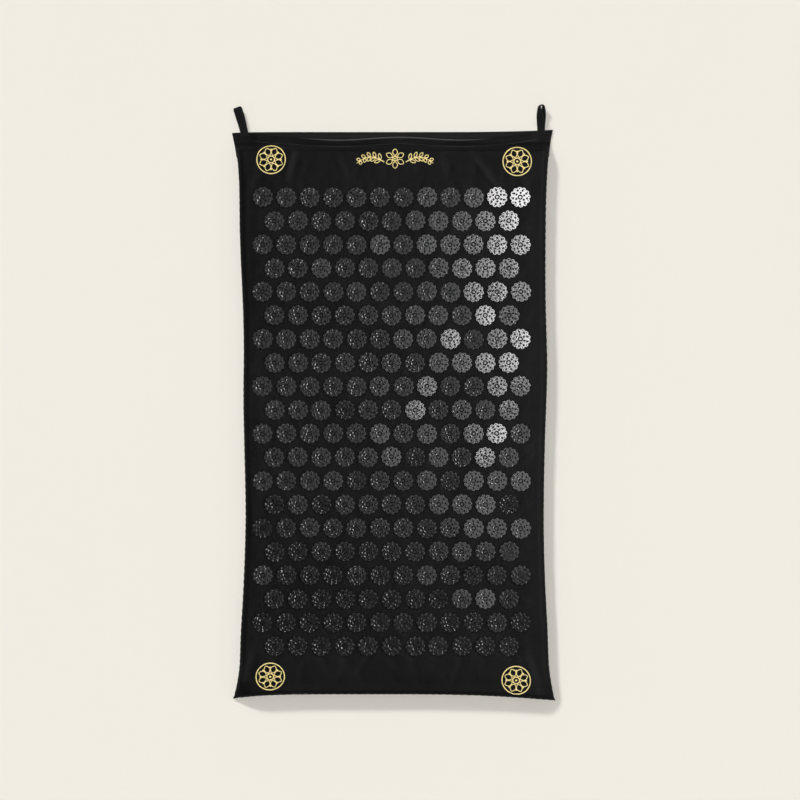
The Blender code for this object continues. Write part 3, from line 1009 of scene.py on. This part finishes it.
def folded_tape(base, lean, curl, twist, reach, nose_radius):
    """One leg up, a half circle round the nose and the other leg back, as a strip of cloth.

    The legs part linearly up to the nose. The strip's width turns about the loop's own axis by a twist
    that grows with the height, and the axis leans and curls up towards its tip."""
    nose_start = reach - nose_radius
    up = np.linspace(-leg_root, nose_start, leg_cells + 1)
    turn = np.linspace(0, np.pi, nose_cells + 1)[1:-1]
    opening = nose_radius * smooth_step((up + leg_root) / (reach * 0.9)) * 0.96 + leg_gap_half
    opening = np.minimum(opening, nose_radius)
    along = np.concatenate([up, nose_start + nose_radius * np.sin(turn), up[::-1]])
    depth = np.concatenate([-opening, -nose_radius * np.cos(turn), opening[::-1]])
    share = np.clip(along / reach, 0, 1)
    angle = twist * share**1.4
    across = np.linspace(-0.5, 0.5, width_cells + 1) * webbing_width
    across, along = np.broadcast_arrays(across[None, :], along[:, None])
    local_x = across * np.cos(angle)[:, None] - depth[:, None] * np.sin(angle)[:, None]
    local_z = across * np.sin(angle)[:, None] + depth[:, None] * np.cos(angle)[:, None]
    lift = webbing_width / 2 * np.abs(np.sin(angle)) + np.abs(depth).max() * share * np.cos(angle)
    bend = lean + curl * share[:, None]
    x = base[0] + local_x * np.cos(bend) + along * np.sin(bend)
    y = base[1] + along * np.cos(bend) - local_x * np.sin(bend)
    z = base[2] + local_z + lift[:, None]
    return np.stack([x, y, z], axis=-1)


webbing = cloth_material(
    "black_webbing", webbing_black, webbing_grey, webbing_edge, webbing_pitch, webbing_relief, 0.70, 0.04
)
for side_name, foot_x, foot_y, lean, curl, twist, reach, nose_radius in (
    ("left", -0.1957, 0.3678, -0.21, -0.06, 0.72, 0.0345, 0.0020),
    ("right", 0.1918, 0.3715, -0.01, 0.02, 1.45, 0.0330, 0.0024),
):
    points = folded_tape((foot_x, foot_y, foot_height), lean, curl, twist, reach, nose_radius)
    tape = new_piece(f"hanging_tape_{side_name}", points, [grid_faces(*points.shape[:2])], webbing)
    add_cloth_map(tape, points)
    wear = np.zeros(points.shape[:2])
    wear[:, [0, -1]] = selvedge_wear_share
    add_shares(tape, "wear_and_highlight", wear)
    add_thickness(tape, webbing_thickness)
    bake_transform(tape)
    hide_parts(f"hanging_loop_{side_name}")

# Rosettes
# 230 injection mouldings of glossy black plastic, 27 mm across, bonded to the cloth: twelve petals,
# rings of 12, 9 and 6 spikes, and a boss in a moat. Each row is one piece, and each disc sits askew.
plate_height = 0.0016
petal_count = 12
petal_notch_share = 0.868
rim_sides = 4 * petal_count
plate_edge = 0.00035
moat_outer_share = 0.250
moat_floor_share = 0.190
moat_inner_share = 0.118
moat_depth = 0.0010
# count, radius of the ring as a share, first spike's angle in degrees, radius of a spike's foot
spike_rings = ((12, 0.845, 0, 0.00082), (9, 0.680, 5, 0.00150), (6, 0.420, 20, 0.00150))
spike_height = 0.0042
spike_sides = 6
flare_width = 0.00020
flare_shift = -0.00012
flare_height = 0.00010
flare_sink = 0.00005
rosette_seat = 0.0002
plastic_black = (0.0030, 0.0030, 0.0033)
plastic_grey = (0.0075, 0.0075, 0.0080)
plastic_relief = 0.00004
disc_tilt = np.radians(1.8)
most_tilt_share = 2.2
disc_shift = 0.00025
moulding_seed = 11


def rosette_shape():
    """(points, arrays of faces) of one rosette. Its rim is at notch + (1 - notch) |cos 6t|^0.7 at angle t.

    Its rings, from the underside: rim, rim under the edge, edge, moat's lip, moat's floor, boss.
    A spike is a six-sided cone whose foot flares out, most of all on the side towards the middle."""
    turn = np.arange(rim_sides) * 2 * np.pi / rim_sides
    lobe = petal_notch_share + (1 - petal_notch_share) * np.abs(np.cos(petal_count / 2 * turn)) ** 0.7
    rim = directions_at(turn) * (rosette_radius * lobe)[:, None]
    inner = rim * (1 - plate_edge / rosette_radius)
    circle = directions_at((np.arange(petal_count) + 0.5) * 2 * np.pi / petal_count) * rosette_radius
    layers = [
        (rim, 0),
        (rim, plate_height - plate_edge),
        (inner, plate_height),
        (circle * moat_outer_share, plate_height),
        (circle * moat_floor_share, plate_height - moat_depth),
        (circle * moat_inner_share, plate_height),
    ]
    points = np.concatenate([np.column_stack([ring, np.full(len(ring), z)]) for ring, z in layers])
    walls = grid_faces(3, rim_sides, wrap=True)
    moat = 3 * rim_sides
    wedge = np.arange(petal_count)[:, None]
    outer = 2 * rim_sides + (4 * wedge + np.arange(5)) % rim_sides
    top = np.concatenate([outer, moat + wedge, moat + (wedge - 1) % petal_count], axis=1)
    dish = grid_faces(3, petal_count, wrap=True) + moat
    boss = np.arange(moat + 2 * petal_count, moat + 3 * petal_count)[None]
    hexagon = directions_at((np.arange(spike_sides) + 0.5) * 2 * np.pi / spike_sides)
    spikes = []
    for count, share, first, foot in spike_rings:
        out = directions_at(np.radians(first) + np.arange(count) * 2 * np.pi / count)
        side = np.stack([-out[:, 1], out[:, 0]], axis=1)
        hexagons = out[:, None] * hexagon[:, :1] + side[:, None] * hexagon[:, 1:]
        centre = out[:, None] * rosette_radius * share
        flare = centre + out[:, None] * flare_shift + hexagons * (foot + flare_width)
        ring = np.concatenate([flare, centre + hexagons * foot, centre], axis=1)
        levels = np.repeat([-flare_sink, flare_height, spike_height], [spike_sides, spike_sides, 1])
        spikes.append(np.dstack([ring, np.broadcast_to(plate_height + levels, ring.shape[:2])]))
    spikes = np.concatenate(spikes)
    near = np.arange(spike_sides)
    tip = np.full(spike_sides, 2 * spike_sides)
    cone = np.stack([spike_sides + near, spike_sides + (near + 1) % spike_sides, tip], axis=1)
    feet, cones = (
        copies(faces + len(points), len(spikes), 2 * spike_sides + 1)
        for faces in (grid_faces(2, spike_sides, wrap=True), cone)
    )
    return np.concatenate([points, spikes.reshape(-1, 3)]), [walls, top, dish, boss, feet, cones]


def moulding_material():
    """Glossy moulded plastic with faint flow marks, fine scratches, and a film of dust in patches."""
    material, tree, shader = new_material("glossy_moulding")
    place = add_node(tree, "TexCoord").outputs["Object"]
    tone = add_node(tree, "Attribute", {"attribute_name": "gloss"}).outputs["Fac"]
    flow = add_node(tree, "TexNoise", Vector=place, Scale=420, Detail=3).outputs["Fac"]
    worn = add_node(tree, "Group", {"node_tree": fibres}, Vector=place, Scale=1400)
    dust = maths(tree, "MULTIPLY", worn.outputs["Wear"], flow)
    height = maths(tree, "MULTIPLY_ADD", worn.outputs["Streaks"], 0.3, flow)
    join(
        tree,
        shader,
        Base_Color=blend_colours(tree, dust, plastic_black, plastic_grey),
        Roughness=maths(tree, "MULTIPLY_ADD", flow, 0.05, maths(tree, "MULTIPLY_ADD", tone, 0.05, 0.05)),
        Normal=bump(tree, height, plastic_relief),
    )
    return material


def place_rosettes(shape, spots, heights, random):
    """Each copy is turned about its own axis, tilted by a small seeded angle, and set on the cloth."""
    count = len(spots)
    spin = random.uniform(0, 2 * np.pi, count)
    heading = random.uniform(0, 2 * np.pi, count)
    tilt = np.minimum(np.abs(random.normal(0, disc_tilt, count)), most_tilt_share * disc_tilt)
    shift = random.normal(0, disc_shift, (count, 2))
    cos, sin = np.cos(spin)[:, None], np.sin(spin)[:, None]
    x = shape[:, 0] * cos - shape[:, 1] * sin
    y = shape[:, 0] * sin + shape[:, 1] * cos
    lean = (x * np.cos(heading)[:, None] + y * np.sin(heading)[:, None]) * np.sin(tilt)[:, None]
    aside = shape[:, 2] * np.sin(tilt)[:, None]
    x = x - aside * np.cos(heading)[:, None] + spots[:, :1] + shift[:, :1]
    y = y - aside * np.sin(heading)[:, None] + spots[:, 1:] + shift[:, 1:]
    z = shape[:, 2] * np.cos(tilt)[:, None] + lean + heights[:, None]
    return np.stack([x, y, z], axis=-1)


shape, shape_faces = rosette_shape()
glossy = moulding_material()
random = np.random.default_rng(moulding_seed)
for row in range(row_count):
    spots = np.array([(x, y) for line, x, y in places if line == row])
    heights = cover_top - rosette_seat + cloth_waves(spots[:, 0], spots[:, 1])
    points = place_rosettes(shape, spots, heights, random)
    faces = [copies(group, len(spots), len(shape)) for group in shape_faces]
    piece = new_piece(f"rosettes_row_{row + 1:02d}", points, faces, glossy, smooth=False)
    add_shares(piece, "gloss", np.repeat(random.uniform(0, 1, len(spots)), len(shape)))
    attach(piece, "cover")
    if row < 2:
        nodes = [f"rosette_{row + 1}_{column + 1:02d}" for column in range(len(spots))]
        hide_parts(*nodes)

# Gold embroidery
# Satin stitch in gold thread on the front cloth: a round ornament near each corner and a sprig of
# leaves at the middle of the top. The threads lie across each line and stand 0.7 mm proud.
gold_light = (1.0, 0.84, 0.32)
gold_dark = (0.64, 0.40, 0.08)
line_width = 0.0015
line_height = 0.0007
ornament_radius = 0.0185
ornament_places = ((-0.1603, 0.3329), (0.1600, 0.3303), (-0.1614, -0.3418), (0.1586, -0.3454))
ornament_leaves = 8
# radii in an ornament as shares of its own: small ring, the leaves' two ends, the dots between them
ornament_shares = (0.24, 0.30, 0.86, 0.70)
leaf_line_share = 0.75
leaf_width = 0.0076
between_dot, middle_dot = 0.0011, 0.0014
sprig_place = (0.0010, 0.3340)
flower_leaves = 6
flower_ring, flower_dot = 0.0030, 0.0012
# near end, far end and width of a leaf of the flower
flower_leaf = (0.0040, 0.0128, 0.0062)
bough_from, bough_length = 0.014, 0.036
bough_drop, bough_rise = 0.0045, 0.0090
bough_leaf_turn = 0.85
bough_leaf_loss = 0.09
# near end, far end, width and points of a leaf of the bough
bough_leaf = (0.0008, 0.0088, 0.0036, 18)


def satin_line(path, widths, closed):
    """A raised line along a flat path: five points across, on an arch, at each of the path's points."""
    if closed:
        ahead = np.roll(path, -1, axis=0) - np.roll(path, 1, axis=0)
    else:
        ahead = np.gradient(path, axis=0)
    ahead = ahead / np.linalg.norm(ahead, axis=1)[:, None]
    aside = np.stack([-ahead[:, 1], ahead[:, 0]], axis=1)
    step = np.linalg.norm(np.diff(path, axis=0, prepend=path[:1]), axis=1)
    share = np.array([-0.5, -0.36, 0.0, 0.36, 0.5])
    arch = np.array([-0.25, 0.75, 1.0, 0.75, -0.25])
    plan = path[:, None] + aside[:, None] * (share[None, :] * widths[:, None])[..., None]
    flat = np.stack(np.broadcast_arrays(np.cumsum(step)[:, None], share * line_width), -1)
    if closed:
        plan, flat = np.concatenate([plan, plan[:1]]), np.concatenate([flat, flat[:1]])
        widths = np.append(widths, widths[0])
    rise = arch[None, :] * line_height * np.clip(widths / line_width, 0.35, 1.2)[:, None]
    return plan, rise, flat


def cut_at_root(bm, keep_above):
    """Keeps the part of a piece above the flap's root, or the part below it."""
    bmesh.ops.bisect_plane(
        bm,
        geom=bm.verts[:] + bm.edges[:] + bm.faces[:],
        plane_co=(0, flap_root_y, 0),
        plane_no=(0, 1, 0),
        clear_outer=not keep_above,
        clear_inner=keep_above,
    )


def embroidery(name, lines, material):
    """The lines of an ornament as a piece that follows the cloth. What lies on the flap is cut off as a piece
    of its own.
    """
    points, faces, flats, start = [], [], [], 0
    for plan, rise, flat in lines:
        x, y = plan[..., 0], plan[..., 1]
        surface = np.where(y > flap_root_y, flap_height(x, y), front_height(x, y))
        points.append(settle(x, y, surface + rise).reshape(-1, 3))
        flats.append(flat.reshape(-1, 2))
        faces.append(grid_faces(*plan.shape[:2])[:, ::-1] + start)
        start += len(points[-1])
    points, flats = np.concatenate(points), np.concatenate(flats)
    parts = [("", None)]
    if points[:, 1].max() > flap_root_y:
        parts = [("", False), ("_on_flap", True)]
    for ending, above in parts:
        piece = new_piece(name + ending, points, faces, material)
        add_map(piece, "thread", flats)
        if above is not None:
            change_mesh(piece, lambda bm: cut_at_root(bm, above))
        if above:
            bend_with_flap(piece)
        else:
            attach(piece, "cover")


def ring(centre, radius, count=72):
    path = directions_at(np.arange(count) * 2 * np.pi / count) * radius + centre
    return satin_line(path, np.full(count, line_width), True)


def petal(centre, heading, near, far, width, count=26):
    """A closed leaf from radius near to far: its half width is a sine of the share along it."""
    share = np.linspace(0, 1, count // 2 + 1)
    half = width / 2 * np.sin(np.pi * share) ** 0.8
    run = near + (far - near) * share
    loop = np.concatenate([np.stack([run, half], 1), np.stack([run[::-1], -half[::-1]], 1)[1:-1]])
    cos, sin = np.cos(heading), np.sin(heading)
    path = np.stack([loop[:, 0] * cos - loop[:, 1] * sin, loop[:, 0] * sin + loop[:, 1] * cos], 1)
    return satin_line(path + centre, np.full(len(path), leaf_line_share * line_width), True)


def dot(centre, size):
    """A filled dot: a short fat line."""
    path = np.stack([np.linspace(-size, size, 7), np.zeros(7)], axis=1) + centre
    widths = 2 * size * np.sqrt(np.clip(1 - np.linspace(-1, 1, 7) ** 2, 0.04, 1))
    return satin_line(path, widths, False)


def round_ornament(centre, turn):
    """A ring, leaves that stand on a small ring, a dot between each two leaves and one in the middle."""
    small, near, far, between = (share * ornament_radius for share in ornament_shares)
    lines = [ring(centre, ornament_radius), ring(centre, small, 40)]
    headings = turn + np.arange(ornament_leaves) * 2 * np.pi / ornament_leaves
    spots = between * directions_at(headings + np.pi / ornament_leaves) + centre
    for heading, spot in zip(headings, spots):
        lines += [petal(centre, heading, near, far, leaf_width), dot(spot, between_dot)]
    return [*lines, dot(np.array(centre), middle_dot)]


def flower(centre):
    """A flower of leaves round a small ring, with a dot in its middle."""
    middle = np.array(centre)
    headings = np.pi / 2 + np.arange(flower_leaves) * 2 * np.pi / flower_leaves
    leaves = [petal(middle, heading, *flower_leaf) for heading in headings]
    return [ring(middle, flower_ring, 32), dot(middle, flower_dot), *leaves]


def bough(centre, side):
    """A curved stem to one side of the flower, thinning out, with a pair of leaves every few millimetres.

    The stem's height is a sine of the share along it, less a slope. Its leaves get smaller outwards."""
    share = np.linspace(0, 1, 40)
    x = side * (bough_from + bough_length * share)
    y = -bough_drop + bough_rise * np.sin(np.pi * share * 0.9) - bough_drop * share
    stem = np.stack([x, y], axis=1) + centre
    lines = [satin_line(stem, line_width * (1 - 0.5 * share), False)]
    slope = np.gradient(stem, axis=0)
    near, far, width, count = bough_leaf
    for n, at in enumerate(range(5, 40, 7)):
        ahead = np.arctan2(slope[at, 1], slope[at, 0])
        for turn in (bough_leaf_turn, -bough_leaf_turn):
            size = far * (1 - bough_leaf_loss * n)
            lines.append(petal(stem[at], ahead + turn, near, size, width, count))
    return lines


gold = thread_material("gold_thread", gold_dark, gold_light, line_width / 2, 0.40, 0.05)
for number, centre in enumerate(ornament_places):
    embroidery(f"round_ornament_{number + 1}", round_ornament(centre, np.pi / 8), gold)
embroidery("flower", flower(sprig_place), gold)
for side_name, side in sides:
    embroidery(f"bough_{side_name}", bough(sprig_place, side), gold)

# Studio
# A pale floor, a dim dome, a fill light from above, and a soft key light from the upper left for the
# shadow. Panels above and to the sides show only as gloss. The camera looks straight down.
floor_colour = (0.80, 0.770, 0.705)
floor_half = 9
floor_drop = 0.0002
metres_per_pixel = 0.001304
mat_centre_pixel = (394.3, 415.2)
frame_centre_pixel = 400
camera_lens = 200
sensor_width = 36
frame_pixels = 800
scale_height = 0.012
side_light = 0.26
overhead_light = 0.31
# the dome's light changes over these values of the direction's z
overhead_from, overhead_to = 0.88, 0.98
dome_colour = (1.0, 0.99, 0.97, 1)
# direction, strength and width in degrees
suns = {"key": ((-0.80, 1.15, 1.0), 1.91, 8), "fill": ((0, 0, 1.0), 1.52, 12)}
# place, the point that it faces, size, radiance
panels = (
    ((0.245, 0.240, 1.6), (0.245, 0.240, 0), (0.10, 0.44), 26.0),
    ((0.220, 0.160, 1.6), (0.220, 0.160, 0), (0.30, 0.80), 2.0),
    ((-0.150, 0.350, 1.6), (-0.150, 0.350, 0), (1.20, 1.10), 0.46),
    ((0.95, 0.10, 1.35), (0.15, 0, 0), (0.80, 1.20), 22.0),
    ((1.58, 1.88, 1.72), (0, 0, 0), (0.90, 0.90), 56.0),
    ((2.35, 0.72, 1.72), (0, 0, 0), (0.80, 0.80), 56.0),
    ((2.35, -0.72, 1.72), (0, 0, 0), (0.80, 0.80), 56.0),
    ((1.58, -1.88, 1.72), (0, 0, 0), (0.80, 0.80), 56.0),
)


def make_floor():
    material, tree, shader = new_material("studio_floor")
    place = add_node(tree, "TexCoord").outputs["Object"]
    grain = add_node(tree, "TexNoise", Vector=place, Scale=3, Detail=2).outputs["Fac"]
    darker = tuple(0.99 * channel for channel in floor_colour)
    colour = blend_colours(tree, grain, darker, floor_colour)
    join(tree, shader, Base_Color=colour, Roughness=0.9, Specular_IOR_Level=0)
    corners = np.array([(-1, -1), (1, -1), (1, 1), (-1, 1)]) * floor_half
    corners = np.column_stack([corners, np.full(4, -floor_drop)])
    floor = new_piece("studio_floor", corners, [np.arange(4)[None]], material)


def make_dome():
    """The world's light: its strength changes smoothly from the side value to the overhead one."""
    world = bpy.data.worlds.new("dome")
    bpy.context.scene.world = world
    world.use_nodes = True
    tree = world.node_tree
    up = add_node(tree, "SeparateXYZ", Vector=add_node(tree, "TexCoord").outputs["Generated"])
    share = add_node(
        tree,
        "MapRange",
        {"interpolation_type": "SMOOTHSTEP"},
        Value=up.outputs["Z"],
        From_Min=overhead_from,
        From_Max=overhead_to,
        To_Min=side_light,
        To_Max=overhead_light,
    )
    join(tree, tree.nodes["Background"], Color=dome_colour, Strength=share.outputs["Result"])


def add_light(data, place, target):
    light = bpy.data.objects.new(data.name, data)
    light.location = place
    light.rotation_mode = "QUATERNION"
    light.rotation_quaternion = (Vector(target) - Vector(place)).to_track_quat("-Z", "Y")
    bpy.context.scene.collection.objects.link(light)
    return light


def make_lights():
    """The suns light matt surfaces alone, and the panels are seen only as gloss on shiny ones."""
    for name, (direction, strength, width) in suns.items():
        sun = bpy.data.lights.new(name, "SUN")
        sun.energy = strength
        sun.angle = np.radians(width)
        add_light(sun, direction, (0, 0, 0)).visible_glossy = False
    for number, (place, target, size, radiance) in enumerate(panels):
        panel = bpy.data.lights.new(f"panel_{number + 1}", "AREA")
        panel.shape = "RECTANGLE"
        panel.size, panel.size_y = size
        panel.energy = radiance * np.pi * size[0] * size[1]
        add_light(panel, place, target).visible_diffuse = False


def make_camera():
    """A long lens straight above the middle of the picture, at the height that gives the photo's scale."""
    data = bpy.data.cameras.new("camera")
    data.lens, data.sensor_width = camera_lens, sensor_width
    camera = bpy.data.objects.new("camera", data)
    distance = metres_per_pixel * frame_pixels / sensor_width * camera_lens
    camera.location = (
        (frame_centre_pixel - mat_centre_pixel[0]) * metres_per_pixel,
        (mat_centre_pixel[1] - frame_centre_pixel) * metres_per_pixel,
        distance + scale_height,
    )
    bpy.context.scene.collection.objects.link(camera)
    bpy.context.scene.camera = camera


make_floor()
make_dome()
make_lights()
make_camera()
bpy.context.scene.view_settings.view_transform = "Standard"
